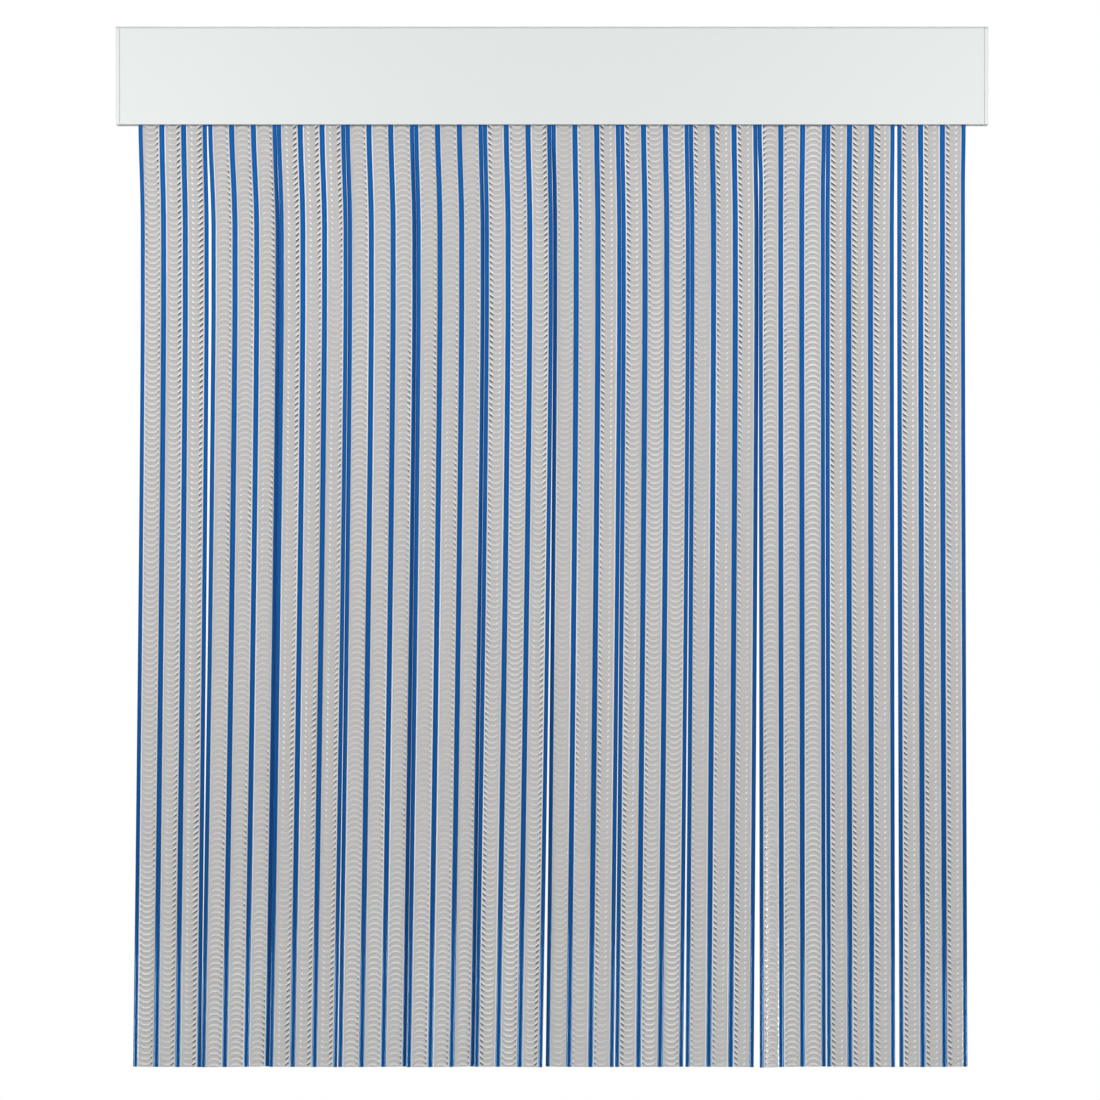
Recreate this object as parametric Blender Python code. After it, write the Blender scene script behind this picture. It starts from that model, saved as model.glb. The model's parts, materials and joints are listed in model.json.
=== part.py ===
"""Fly curtain: a lacquered header with ribbed PVC ribbons that hang on a steel rod inside it.

Metres, +Z up. X runs along the header, the room side faces -Y, and the wall is the plane y = 0.
The origin is the middle of the header's back face. Sections are drawn as (y, z) outlines and run along X.
"""

import math

import bmesh
import bpy
from mathutils import Vector
from mathutils.geometry import tessellate_polygon

# Header extrusion
HEADER_WIDTH = 0.900
HEADER_HEIGHT = 0.101
HEADER_DEPTH = 0.036
WALL = 0.0016
TOP_FRONT_RADIUS = 0.003
SMALL_RADIUS = 0.001
MOUTH_LIP = 0.0025
CLEARANCE = 0.0003
OVERRUN = 0.001

# Back rail of the header, which hooks over the wall brackets
RAIL_DROP = 0.0125
RAIL_HEIGHT = 0.032
RAIL_LIP = 0.006

# Hanging rod and what carries it
ROD_RADIUS = 0.003
ROD_OVER_MOUTH = 0.016
SOCKET_LENGTH = 0.010
SOCKET_WALL = 0.002
HANGER_WALL = 0.0023
HANGER_WIDTH = 0.008
HANGER_NECK = 0.0055
HANGER_NECK_DROP = 0.002
HANGER_HEAD_WIDTH = 0.010
HANGER_HEAD_HEIGHT = 0.0022
HANGER_COUNT = 3

# End caps and their screws
CAP_THICKNESS = 0.004
PLUG_LENGTH = 0.012
PLUG_WALL = 0.0015
SCREW_RADIUS = 0.0018
SCREW_LENGTH = 0.016
SCREW_HEAD_RADIUS = 0.0034
SCREW_HEAD_HEIGHT = 0.0020
SCREW_SLOT_WIDTH = 0.0010
SCREW_SLOT_DEPTH = 0.0009

# Wall brackets
BRACKET_THICKNESS = 0.0015
BRACKET_WIDTH = 0.045
BRACKET_INSET = 0.150
BRACKET_JOGGLE = 0.003
BRACKET_HOLE_RADIUS = 0.0025
BRACKET_HOLE_SPACING = 0.026
BRACKET_HEAD_ROOM = 0.0030

# Ribbons: two edge beads, two inner ribs and three clear bands, drawn out as one strip
RIBBON_WIDTH = 0.0706
RIBBON_DROP = 0.973
RIBBON_INSET = 0.0226
RIBBON_GAP = 0.00037
WEB_THICKNESS = 0.0010
BEAD_WIDTH = 0.0040
BEAD_HEIGHT = 0.0028
RIB_WIDTH = 0.0050
RIB_HEIGHT = 0.0033
LOOP_WALL = 0.0014
LOOP_INSET = 0.006
SHOULDER_DROP = 0.0085
WELD_DROP = 0.0135
MAX_CUP = 0.0035
MAX_TWIST = math.radians(17)
BEND_LEFT_SHIFT = 0.0022
BEND_RIGHT_SHIFT = -0.0004
FOOT_LEFT_SHIFT = -0.0057
FOOT_RIGHT_SHIFT = 0.0021

# Shares of the free width that each gap between two ribbons takes: at the rod, at the bend just
# below the header, where the ribbons have stepped sideways, and at the feet
ROD_GAP_SHARES = (0.31, 0, 0, 0, 0, 0, 0, 0, 0, 0, 0.69)
BEND_GAP_SHARES = (0.44, 0, 0, 0, 0, 0, 0, 0, 0, 0.03, 0.53)
FOOT_GAP_SHARES = (0, 0, 0.03, 0.01, 0, 0.18, 0.05, 0.11, 0.34, 0.04, 0.24)
# Shares of the largest twist just below the header and at the foot, and of the largest cup
MOUTH_TWIST_SHARES = (-0.25, 0.50, -0.30, 0.20, 0.35, -0.30, -0.25, 0.15, -0.30, 0.80, -0.25, 0.35)
FOOT_TWIST_SHARES = (-0.30, 0.55, -0.20, 0.30, 0.55, -0.40, -0.30, 0.15, -0.25, 0.80, -0.25, 0.20)
CUP_SHARES = (0.6, 0.8, -0.5, 0.7, 0.9, -0.6, 0.8, 0.5, -0.7, -1.0, 0.6, 0.9)
# Heights of a ribbon's rings as shares of its length. By one such share the twist has built up,
# by another the step to the side is done, and from a third the slow drift to the foot begins
RING_SHARES = (0, 0.02, 0.045, 0.07, 0.12, 0.20, 0.34, 0.48, 0.64, 0.82, 1)
SETTLE_SHARE = 0.07
BEND_SHARE = 0.12
DRIFT_SHARE = 0.20
DRIFT_POWER = 1.25

ARC_STEPS = 4
ROUND_STEPS = 16
BEAD_STEPS = 3
RIB_STEPS = 4
SHARP_ANGLE = math.radians(35)

# Colours, roughness and metallic values of the finishes
WHITE_LACQUER = ("white_lacquer", (0.80, 0.82, 0.82, 1), 0.30, 0.0)
WHITE_PLASTIC = ("white_plastic", (0.78, 0.80, 0.80, 1), 0.40, 0.0)
ROD_STEEL = ("rod_steel", (0.60, 0.61, 0.62, 1), 0.28, 1.0)
ZINC_STEEL = ("zinc_steel", (0.66, 0.67, 0.68, 1), 0.38, 1.0)
HANGER_NYLON = ("hanger_nylon", (0.74, 0.74, 0.72, 1), 0.45, 0.0)
CLEAR_PVC = ("clear_pvc", (0.70, 0.70, 0.68, 1), 0.22, 0.0)
BLUE_PVC = ("blue_pvc", (0.01, 0.12, 0.42, 1), 0.18, 0.0)

# Places that the pieces share, worked out from the sizes above
TOP_Z = HEADER_HEIGHT / 2
MOUTH_Z = -HEADER_HEIGHT / 2
FRONT_Y = -HEADER_DEPTH
ROD_Y = -HEADER_DEPTH / 2
ROD_Z = MOUTH_Z + ROD_OVER_MOUTH
ROD_HOLE = ROD_RADIUS + CLEARANCE
HANGER_RING = ROD_HOLE + HANGER_WALL
LOOP_RADIUS = ROD_HOLE + LOOP_WALL
SLOT_FLOOR_Z = ROD_Z + HANGER_RING + HANGER_NECK_DROP
SLOT_ROOM = HANGER_HEAD_HEIGHT + 2 * CLEARANCE
SLOT_HALF = HANGER_HEAD_WIDTH / 2 + CLEARANCE
SLOT_GAP_HALF = HANGER_NECK / 2 + CLEARANCE
WEB_Z = SLOT_FLOOR_Z + WALL + SLOT_ROOM
CHAMBER_Z = WEB_Z + WALL
PORT_RADIUS = SCREW_RADIUS + CLEARANCE
PORT_BOSS = PORT_RADIUS + WALL
PORT_HEIGHTS = (WEB_Z + PORT_BOSS, TOP_Z - PORT_BOSS)
RAIL_TOP_Z = TOP_Z - RAIL_DROP
RAIL_FOOT_Z = RAIL_TOP_Z - RAIL_HEIGHT
RAIL_DEPTH = BRACKET_THICKNESS + BRACKET_HEAD_ROOM + WALL
CAP_FACE_X = HEADER_WIDTH / 2 - CAP_THICKNESS
HEAD_POCKET = SCREW_HEAD_HEIGHT + CLEARANCE
RIBBON_FOOT_Z = MOUTH_Z - RIBBON_DROP


def clear_scene():
    for item in list(bpy.data.objects):
        bpy.data.objects.remove(item, do_unlink=True)


def finish_material(finish):
    name, colour, roughness, metallic = finish
    material = bpy.data.materials.get(name)
    if material is None:
        material = bpy.data.materials.new(name)
        material.use_nodes = True
        shader = material.node_tree.nodes["Principled BSDF"]
        shader.inputs["Base Color"].default_value = colour
        shader.inputs["Roughness"].default_value = roughness
        shader.inputs["Metallic"].default_value = metallic
        material.diffuse_color = colour
    return material


def arc(centre, radius, start, end, steps):
    """Points of an arc in the (y, z) plane, both ends included; angles in degrees from +Y towards +Z."""
    points = []
    for step in range(steps + 1):
        angle = math.radians(start + (end - start) * step / steps)
        points.append((centre[0] + radius * math.cos(angle), centre[1] + radius * math.sin(angle)))
    return points


def circle(centre, radius, steps):
    return arc(centre, radius, 0, 360, steps)[:-1]


def plate_outline(low, high, front_top_radius, other_radius):
    """A rectangle with rounded corners; only the top front corner has its own radius."""
    corners = (
        ((high[0], high[1]), other_radius, 0),
        ((low[0], high[1]), front_top_radius, 90),
        ((low[0], low[1]), other_radius, 180),
        ((high[0], low[1]), other_radius, 270),
    )
    points = []
    for corner, radius, start in corners:
        towards_y = -radius if corner[0] == high[0] else radius
        towards_z = -radius if corner[1] == high[1] else radius
        centre = (corner[0] + towards_y, corner[1] + towards_z)
        points += arc(centre, radius, start, start + 90, ARC_STEPS)
    return points


def mirrored(points, middle_y):
    """The same points on the other side of a vertical line, in reverse order."""
    return [(2 * middle_y - y, z) for y, z in reversed(points)]


def new_object(name, mesh_builder, finishes, location=(0, 0, 0)):
    """Turns a filled bmesh into a named object with outward faces and smooth round sides."""
    bmesh.ops.recalc_face_normals(mesh_builder, faces=mesh_builder.faces)
    mesh = bpy.data.meshes.new(name)
    mesh_builder.to_mesh(mesh)
    mesh_builder.free()
    mesh.shade_smooth()
    mesh.set_sharp_from_angle(angle=SHARP_ANGLE)
    for finish in finishes:
        mesh.materials.append(finish_material(finish))
    item = bpy.data.objects.new(name, mesh)
    item.location = location
    bpy.context.collection.objects.link(item)
    return item


def add_prism(builder, outlines, start_x, end_x):
    """Runs an outline, with any holes after it, along X as one closed solid."""
    flat = [point for outline in outlines for point in outline]
    near = [builder.verts.new((start_x, y, z)) for y, z in flat]
    far = [builder.verts.new((end_x, y, z)) for y, z in flat]
    if len(outlines) == 1:
        builder.faces.new(near)
        builder.faces.new(reversed(far))
    else:
        polygons = [[Vector((y, z, 0)) for y, z in outline] for outline in outlines]
        for triangle in tessellate_polygon(polygons):
            builder.faces.new([near[index] for index in triangle])
            builder.faces.new([far[index] for index in reversed(triangle)])
    first = 0
    for outline in outlines:
        count = len(outline)
        for index in range(count):
            here = first + index
            after = first + (index + 1) % count
            builder.faces.new((near[here], near[after], far[after], far[here]))
        first += count


def prism(name, outlines, start_x, end_x, finish, location=(0, 0, 0)):
    builder = bmesh.new()
    add_prism(builder, outlines, start_x, end_x)
    return new_object(name, builder, [finish], location)


def add_end(builder, ring, end_x, end_radius):
    """Closes a turned body: flat where the profile ends off the axis, in a point where it ends on it."""
    if end_radius > 0:
        builder.faces.new(ring)
        return
    tip = builder.verts.new((end_x, 0, 0))
    for index, vertex in enumerate(ring):
        builder.faces.new((tip, vertex, ring[(index + 1) % len(ring)]))


def turned(name, profile, steps, finish, location=(0, 0, 0)):
    """Turns (x, radius) points round the X axis into a closed body."""
    builder = bmesh.new()
    rings = []
    for x, radius in profile:
        if radius > 0:
            angles = [2 * math.pi * step / steps for step in range(steps)]
            points = [(x, radius * math.cos(angle), radius * math.sin(angle)) for angle in angles]
            rings.append([builder.verts.new(point) for point in points])
    for ring, following in zip(rings, rings[1:]):
        for step in range(steps):
            after = (step + 1) % steps
            builder.faces.new((ring[step], following[step], following[after], ring[after]))
    add_end(builder, rings[0], *profile[0])
    add_end(builder, rings[-1], *profile[-1])
    return new_object(name, builder, [finish], location)


def use_tool(item, tool, operation):
    """Joins a tool body to an object, or cuts it out, and keeps the result as the object's own mesh."""
    modifier = item.modifiers.new(operation.lower(), "BOOLEAN")
    modifier.operation = operation
    modifier.solver = "EXACT"
    modifier.object = tool
    evaluated = item.evaluated_get(bpy.context.evaluated_depsgraph_get())
    plain = item.data
    item.data = bpy.data.meshes.new_from_object(evaluated)
    item.data.name = item.name
    item.data.set_sharp_from_angle(angle=SHARP_ANGLE)
    item.modifiers.clear()
    bpy.data.meshes.remove(plain)
    bpy.data.objects.remove(tool, do_unlink=True)


def boss_angle():
    """Angle below the horizontal at which a port boss meets the wall that carries it, in degrees."""
    return math.degrees(math.asin((PORT_BOSS - WALL) / PORT_BOSS))


def rail_outline():
    """The back rail's edge from its upper lip to its lower lip, going down."""
    return [
        (0, RAIL_TOP_Z - RAIL_LIP),
        (-WALL, RAIL_TOP_Z - RAIL_LIP),
        (-WALL, RAIL_TOP_Z),
        (-RAIL_DEPTH, RAIL_TOP_Z),
        (-RAIL_DEPTH, RAIL_FOOT_Z),
        (-WALL, RAIL_FOOT_Z),
        (-WALL, RAIL_FOOT_Z + RAIL_LIP),
        (0, RAIL_FOOT_Z + RAIL_LIP),
    ]


def slot_outline():
    """Half of the T-slot for the rod hangers, from the back towards the rod's plane."""
    return [
        (ROD_Y + SLOT_HALF + WALL, WEB_Z),
        (ROD_Y + SLOT_HALF + WALL, SLOT_FLOOR_Z),
        (ROD_Y + SLOT_GAP_HALF, SLOT_FLOOR_Z),
        (ROD_Y + SLOT_GAP_HALF, SLOT_FLOOR_Z + WALL),
        (ROD_Y + SLOT_HALF, SLOT_FLOOR_Z + WALL),
        (ROD_Y + SLOT_HALF, WEB_Z),
    ]


def mouth_outline():
    """The back wall's foot with its inward lip, from the outer face round to the inside."""
    foot = arc((-SMALL_RADIUS, MOUTH_Z + SMALL_RADIUS), SMALL_RADIUS, 0, -90, ARC_STEPS)
    return foot + [
        (-WALL - MOUTH_LIP, MOUTH_Z),
        (-WALL - MOUTH_LIP, MOUTH_Z + WALL),
        (-WALL, MOUTH_Z + WALL),
    ]


def header_outline():
    """Outer edge of the extrusion, from the top back corner down the back and round to the front."""
    corner = arc((-SMALL_RADIUS, TOP_Z - SMALL_RADIUS), SMALL_RADIUS, 90, 0, ARC_STEPS)
    back = corner + rail_outline() + mouth_outline() + [(-WALL, WEB_Z)] + slot_outline()
    front_half = mirrored(mouth_outline() + [(-WALL, WEB_Z)] + slot_outline(), ROD_Y)
    centre = (FRONT_Y + TOP_FRONT_RADIUS, TOP_Z - TOP_FRONT_RADIUS)
    front_corner = arc(centre, TOP_FRONT_RADIUS, 180, 90, ARC_STEPS)
    return back + front_half + front_corner


def chamber_outline():
    """Closed upper chamber, which bends round the back rail and the two screw ports."""
    lean = boss_angle()
    low_boss = arc((ROD_Y, PORT_HEIGHTS[0]), PORT_BOSS, -lean, 180 + lean, 2 * ARC_STEPS)
    high_boss = arc((ROD_Y, PORT_HEIGHTS[1]), PORT_BOSS, 180 - lean, 360 + lean, 2 * ARC_STEPS)
    behind_rail = [
        (-WALL, TOP_Z - WALL),
        (-WALL, RAIL_TOP_Z + WALL),
        (-RAIL_DEPTH - WALL, RAIL_TOP_Z + WALL),
        (-RAIL_DEPTH - WALL, RAIL_FOOT_Z - WALL),
        (-WALL, RAIL_FOOT_Z - WALL),
        (-WALL, CHAMBER_Z),
    ]
    front = [(FRONT_Y + WALL, CHAMBER_Z), (FRONT_Y + WALL, TOP_Z - WALL)]
    return behind_rail + low_boss + front + high_boss


def make_header():
    ports = [circle((ROD_Y, height), PORT_RADIUS, ROUND_STEPS // 2) for height in PORT_HEIGHTS]
    outlines = [header_outline(), chamber_outline()] + ports
    end = CAP_FACE_X - CLEARANCE
    prism("header_profile", outlines, -end, end, WHITE_LACQUER)


def plug_outline():
    """A C-shaped plug that fits the front of the chamber between the screw bosses."""
    front = FRONT_Y + WALL + CLEARANCE
    back = ROD_Y - PORT_BOSS - CLEARANCE
    low = CHAMBER_Z + CLEARANCE
    high = TOP_Z - WALL - CLEARANCE
    return [
        (front, low),
        (back, low),
        (back, low + PLUG_WALL),
        (front + PLUG_WALL, low + PLUG_WALL),
        (front + PLUG_WALL, high - PLUG_WALL),
        (back, high - PLUG_WALL),
        (back, high),
        (front, high),
    ]


def screw_cutter(name, height):
    """Head pocket and shank hole of one cap screw, drawn for the right end."""
    outside = HEADER_WIDTH / 2
    pocket_floor = outside - HEAD_POCKET
    wide = SCREW_HEAD_RADIUS + CLEARANCE
    profile = [
        (outside + OVERRUN, wide),
        (pocket_floor, wide),
        (pocket_floor, PORT_RADIUS),
        (CAP_FACE_X - OVERRUN, PORT_RADIUS),
    ]
    return turned(name, profile, ROUND_STEPS, ZINC_STEEL, (0, ROD_Y, height))


def make_end_cap(name):
    """The right end cap: flange, chamber plug, rod socket and two screw holes."""
    low = (FRONT_Y, MOUTH_Z)
    high = (0, TOP_Z)
    flange = plate_outline(low, high, TOP_FRONT_RADIUS, SMALL_RADIUS)
    cap = prism(name, [flange], CAP_FACE_X, HEADER_WIDTH / 2, WHITE_PLASTIC)
    root = CAP_FACE_X + CAP_THICKNESS / 2
    plug = prism(name + "_plug", [plug_outline()], CAP_FACE_X - PLUG_LENGTH, root, WHITE_PLASTIC)
    socket_edge = circle((ROD_Y, ROD_Z), ROD_HOLE + SOCKET_WALL, ROUND_STEPS)
    socket_start = CAP_FACE_X - SOCKET_LENGTH
    socket = prism(name + "_socket", [socket_edge], socket_start, root, WHITE_PLASTIC)
    bore_edge = circle((ROD_Y, ROD_Z), ROD_HOLE, ROUND_STEPS)
    bore = prism(name + "_bore", [bore_edge], socket_start - OVERRUN, CAP_FACE_X, WHITE_PLASTIC)
    use_tool(cap, plug, "UNION")
    use_tool(cap, socket, "UNION")
    use_tool(cap, bore, "DIFFERENCE")
    for number, height in enumerate(PORT_HEIGHTS, 1):
        use_tool(cap, screw_cutter(f"{name}_hole_{number}", height), "DIFFERENCE")
    return cap


def flipped_copy(item, name):
    """A mirror image of an object in the plane x = 0, with a mesh of its own."""
    builder = bmesh.new()
    builder.from_mesh(item.data)
    for vertex in builder.verts:
        vertex.co.x = -vertex.co.x
    return new_object(name, builder, [WHITE_PLASTIC])


def screw_profile():
    """Pan head, shank and point of a cap screw that goes in towards -X; x is zero under the head."""
    crown = SCREW_HEAD_HEIGHT / 2
    cone = SCREW_RADIUS
    return [
        (SCREW_HEAD_HEIGHT, SCREW_HEAD_RADIUS - crown),
        (crown, SCREW_HEAD_RADIUS),
        (0, SCREW_HEAD_RADIUS),
        (0, SCREW_RADIUS),
        (cone - SCREW_LENGTH, SCREW_RADIUS),
        (-SCREW_LENGTH, 0),
    ]


def cross_recess(name):
    """Cutter for the crossed slots in a screw head."""
    reach = SCREW_HEAD_RADIUS * 2 / 3
    half = SCREW_SLOT_WIDTH / 2
    outline = [(reach, half), (half, half), (half, reach), (-half, reach), (-half, half), (-reach, half),
               (-reach, -half), (-half, -half), (-half, -reach), (half, -reach), (half, -half), (reach, -half)]
    floor = SCREW_HEAD_HEIGHT - SCREW_SLOT_DEPTH
    return prism(name, [outline], floor, SCREW_HEAD_HEIGHT + OVERRUN, ZINC_STEEL)


def make_cap_screws():
    seat_x = HEADER_WIDTH / 2 - HEAD_POCKET + CLEARANCE
    number = 0
    for side in (1, -1):
        for height in PORT_HEIGHTS:
            number += 1
            screw = turned(f"cap_screw_{number}", screw_profile(), ROUND_STEPS, ZINC_STEEL)
            recess = cross_recess(f"cap_screw_{number}_recess")
            turn = (0, 0, 0 if side == 1 else math.pi)
            for item in (screw, recess):
                item.location = (side * seat_x, ROD_Y, height)
                item.rotation_euler = turn
            use_tool(screw, recess, "DIFFERENCE")


def make_rod():
    end = CAP_FACE_X - CLEARANCE
    chamfer = ROD_RADIUS / 4
    profile = [
        (end, ROD_RADIUS - chamfer),
        (end - chamfer, ROD_RADIUS),
        (chamfer - end, ROD_RADIUS),
        (-end, ROD_RADIUS - chamfer),
    ]
    turned("hanging_rod", profile, ROUND_STEPS, ROD_STEEL, (0, ROD_Y, ROD_Z))


def hanger_outline():
    """T head, neck and ring of a rod hanger round the rod's centre, as one outline."""
    head_top = WEB_Z - CLEARANCE - ROD_Z
    head_floor = head_top - HANGER_HEAD_HEIGHT
    half_neck = HANGER_NECK / 2
    half_head = HANGER_HEAD_WIDTH / 2
    lean = math.degrees(math.acos(half_neck / HANGER_RING))
    ring = arc((0, 0), HANGER_RING, 180 - lean, 360 + lean, ROUND_STEPS)
    return ring + [
        (half_neck, head_floor),
        (half_head, head_floor),
        (half_head, head_top),
        (-half_head, head_top),
        (-half_head, head_floor),
        (-half_neck, head_floor),
    ]


def make_hangers(places):
    """One hanger in the gap after each run of ribbons, shared out evenly along the rod."""
    bore = circle((0, 0), ROD_HOLE, ROUND_STEPS)
    half = HANGER_WIDTH / 2
    for number in range(1, HANGER_COUNT + 1):
        after = round(number * len(places) / (HANGER_COUNT + 1))
        middle = (places[after - 1][0] + places[after][0]) / 2
        outlines = [hanger_outline(), bore]
        location = (middle, ROD_Y, ROD_Z)
        prism(f"rod_hanger_{number}", outlines, -half, half, HANGER_NYLON, location)


def bracket_outline():
    """A flat plate on the wall whose upper and lower edges step inwards behind the rail's lips."""
    step = WALL + CLEARANCE
    high = RAIL_TOP_Z - CLEARANCE
    low = RAIL_FOOT_Z + CLEARANCE
    upper_foot = RAIL_TOP_Z - RAIL_LIP - CLEARANCE
    lower_head = RAIL_FOOT_Z + RAIL_LIP + CLEARANCE
    plate_high = upper_foot - BRACKET_JOGGLE
    plate_low = lower_head + BRACKET_JOGGLE
    slant = BRACKET_THICKNESS / 2
    return [
        (0, plate_low),
        (0, plate_high),
        (-step, upper_foot),
        (-step, high),
        (-step - BRACKET_THICKNESS, high),
        (-step - BRACKET_THICKNESS, upper_foot - slant),
        (-BRACKET_THICKNESS, plate_high - slant),
        (-BRACKET_THICKNESS, plate_low + slant),
        (-step - BRACKET_THICKNESS, lower_head + slant),
        (-step - BRACKET_THICKNESS, low),
        (-step, low),
        (-step, lower_head),
    ]


def make_brackets():
    """Two wall brackets with two round screw holes each."""
    half = BRACKET_WIDTH / 2
    middle_z = (RAIL_TOP_Z + RAIL_FOOT_Z) / 2
    for name, side in (("wall_bracket_left", -1), ("wall_bracket_right", 1)):
        middle_x = side * (HEADER_WIDTH / 2 - BRACKET_INSET)
        bracket = prism(name, [bracket_outline()], -half, half, ZINC_STEEL, (middle_x, 0, 0))
        for offset in (-BRACKET_HOLE_SPACING / 2, BRACKET_HOLE_SPACING / 2):
            reach = BRACKET_THICKNESS + OVERRUN
            ends = [(-reach, BRACKET_HOLE_RADIUS), (reach, BRACKET_HOLE_RADIUS)]
            hole = turned(f"{name}_hole", ends, ROUND_STEPS, ZINC_STEEL, (middle_x + offset, 0, middle_z))
            hole.rotation_euler = (0, 0, math.pi / 2)
            use_tool(bracket, hole, "DIFFERENCE")


def row_of_ribbons(start, end, reaches, shares):
    """Middles of ribbons that reach this far left and right, with the free width shared out between them."""
    gaps = len(reaches) - 1
    used = [shares[index % len(shares)] for index in range(gaps)]
    free = end - start - sum(left + right for left, right in reaches) - gaps * RIBBON_GAP
    middles = [start + reaches[0][0]]
    for index, share in enumerate(used):
        nearest = reaches[index][1] + reaches[index + 1][0] + RIBBON_GAP
        middles.append(middles[-1] + nearest + free * share / sum(used))
    return middles


def ribbon_reach(number, share):
    """How far a ribbon reaches to the left and to the right of its middle at one height."""
    section = ribbon_section()[0]
    across = [x for x, y, z in ribbon_ring(section, share, 0, 0, number)]
    return -min(across), max(across)


def ribbon_places():
    """For each ribbon, the X of its middle at the rod, at the bend below the header and at its foot."""
    half = HEADER_WIDTH / 2 - RIBBON_INSET
    count = int((2 * half + RIBBON_GAP) / (RIBBON_WIDTH + RIBBON_GAP))
    levels = (
        (0, 0, 0, ROD_GAP_SHARES),
        (BEND_SHARE, BEND_LEFT_SHIFT, BEND_RIGHT_SHIFT, BEND_GAP_SHARES),
        (1, FOOT_LEFT_SHIFT, FOOT_RIGHT_SHIFT, FOOT_GAP_SHARES),
    )
    rows = []
    for share, left_shift, right_shift, gap_shares in levels:
        reaches = [ribbon_reach(number, share) for number in range(1, count + 1)]
        rows.append(row_of_ribbons(-half + left_shift, half + right_shift, reaches, gap_shares))
    return list(zip(*rows))


def rounded_top(middle, width, height, keep_start, keep_end, steps):
    """Upper half of a bead or rib as (across, out) points, cut where it meets the web."""
    lean = math.asin(WEB_THICKNESS / height)
    start = math.pi - (lean if keep_start else 0)
    end = lean if keep_end else 0
    points = []
    for step in range(steps + 1):
        angle = start + (end - start) * step / steps
        points.append((middle + width / 2 * math.cos(angle), height / 2 * math.sin(angle)))
    return points


def ribbon_section():
    """Closed outline of the strip as (across, out) points, and which of its edges are blue."""
    edge = RIBBON_WIDTH / 2 - BEAD_WIDTH / 2
    band = (RIBBON_WIDTH - 2 * BEAD_WIDTH - 2 * RIB_WIDTH) / 3
    rib = (band + RIB_WIDTH) / 2
    rounds = (
        (-edge, BEAD_WIDTH, BEAD_HEIGHT, False, True, BEAD_STEPS),
        (-rib, RIB_WIDTH, RIB_HEIGHT, True, True, RIB_STEPS),
        (rib, RIB_WIDTH, RIB_HEIGHT, True, True, RIB_STEPS),
        (edge, BEAD_WIDTH, BEAD_HEIGHT, True, False, BEAD_STEPS),
    )
    upper = []
    blue = []
    for shape in rounds:
        upper += rounded_top(*shape)
        blue += [True] * shape[-1] + [False]
    lower = [(across, -out) for across, out in reversed(upper[1:-1])]
    lower_blue = list(reversed(blue[:-1]))
    return upper + lower, blue[:-1] + lower_blue


def risen(share, full_share):
    """Rises smoothly from 0 at the rod to 1 at the given share of the length, and stays there."""
    part = min(share / full_share, 1)
    return part * part * (3 - 2 * part)


def ribbon_ring(section, share, sway, drift, number):
    """The section's points at one height, moved sideways, cupped and twisted."""
    index = (number - 1) % len(CUP_SHARES)
    mouth = MOUTH_TWIST_SHARES[index]
    foot = FOOT_TWIST_SHARES[index]
    settled = risen(share, SETTLE_SHARE)
    twist = MAX_TWIST * settled * (mouth + (foot - mouth) * share)
    cup = MAX_CUP * CUP_SHARES[index] * settled
    start = -SHOULDER_DROP
    z = start + (RIBBON_FOOT_Z - ROD_Z - start) * share
    drifted = max(share - DRIFT_SHARE, 0) / (1 - DRIFT_SHARE)
    middle = sway * risen(share, BEND_SHARE) + drift * drifted ** DRIFT_POWER
    points = []
    for across, out in section:
        half_share = across / (RIBBON_WIDTH / 2)
        bowed = out + cup * (half_share ** 2 - 1 / 3)
        x = across * math.cos(twist) - bowed * math.sin(twist)
        y = across * math.sin(twist) + bowed * math.cos(twist)
        points.append((middle + x, y, z))
    return points


def loop_outline():
    """Side view of the loop round the rod with its weld flap below, round the rod's centre."""
    lean = math.degrees(math.acos(LOOP_WALL / LOOP_RADIUS))
    ring = arc((0, 0), LOOP_RADIUS, -lean, 180 + lean, ROUND_STEPS)
    return ring + [(-LOOP_WALL, -WELD_DROP), (LOOP_WALL, -WELD_DROP)]


def make_ribbon(number, rod_x, bend_x, foot_x):
    """One ribbon: the drawn strip, united with the loop that turns on the rod."""
    section, blue = ribbon_section()
    builder = bmesh.new()
    rings = []
    for share in RING_SHARES:
        points = ribbon_ring(section, share, bend_x - rod_x, foot_x - bend_x, number)
        rings.append([builder.verts.new(point) for point in points])
    count = len(section)
    for ring, following in zip(rings, rings[1:]):
        for index in range(count):
            after = (index + 1) % count
            face = builder.faces.new((ring[index], ring[after], following[after], following[index]))
            face.material_index = 1 if blue[index] else 0
    builder.faces.new(rings[0])
    builder.faces.new(reversed(rings[-1]))
    place = (rod_x, ROD_Y, ROD_Z)
    ribbon = new_object(f"ribbon_{number:02d}", builder, [CLEAR_PVC, BLUE_PVC], place)
    half = RIBBON_WIDTH / 2 - LOOP_INSET
    outlines = [loop_outline(), circle((0, 0), ROD_HOLE, ROUND_STEPS)]
    loop = prism(f"ribbon_{number:02d}_loop", outlines, -half, half, CLEAR_PVC, place)
    use_tool(ribbon, loop, "UNION")


def make_curtain():
    clear_scene()
    places = ribbon_places()
    make_header()
    right = make_end_cap("end_cap_right")
    flipped_copy(right, "end_cap_left")
    make_cap_screws()
    make_rod()
    make_hangers(places)
    make_brackets()
    for number, place in enumerate(places, 1):
        make_ribbon(number, *place)


make_curtain()
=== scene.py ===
# %% [markdown]
# # A fly curtain, dressed for its portrait
#
# A fly curtain hangs in an open door. A lacquered header holds a steel rod, and twelve soft PVC
# ribbons swing on that rod, each with blue ribs and clear bands that are embossed like scales.
# The frame that is loaded here already has every part at its true size. This lesson gives those
# parts their finishes, and builds the ribbons again with their embossing.

import json
import math

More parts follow.
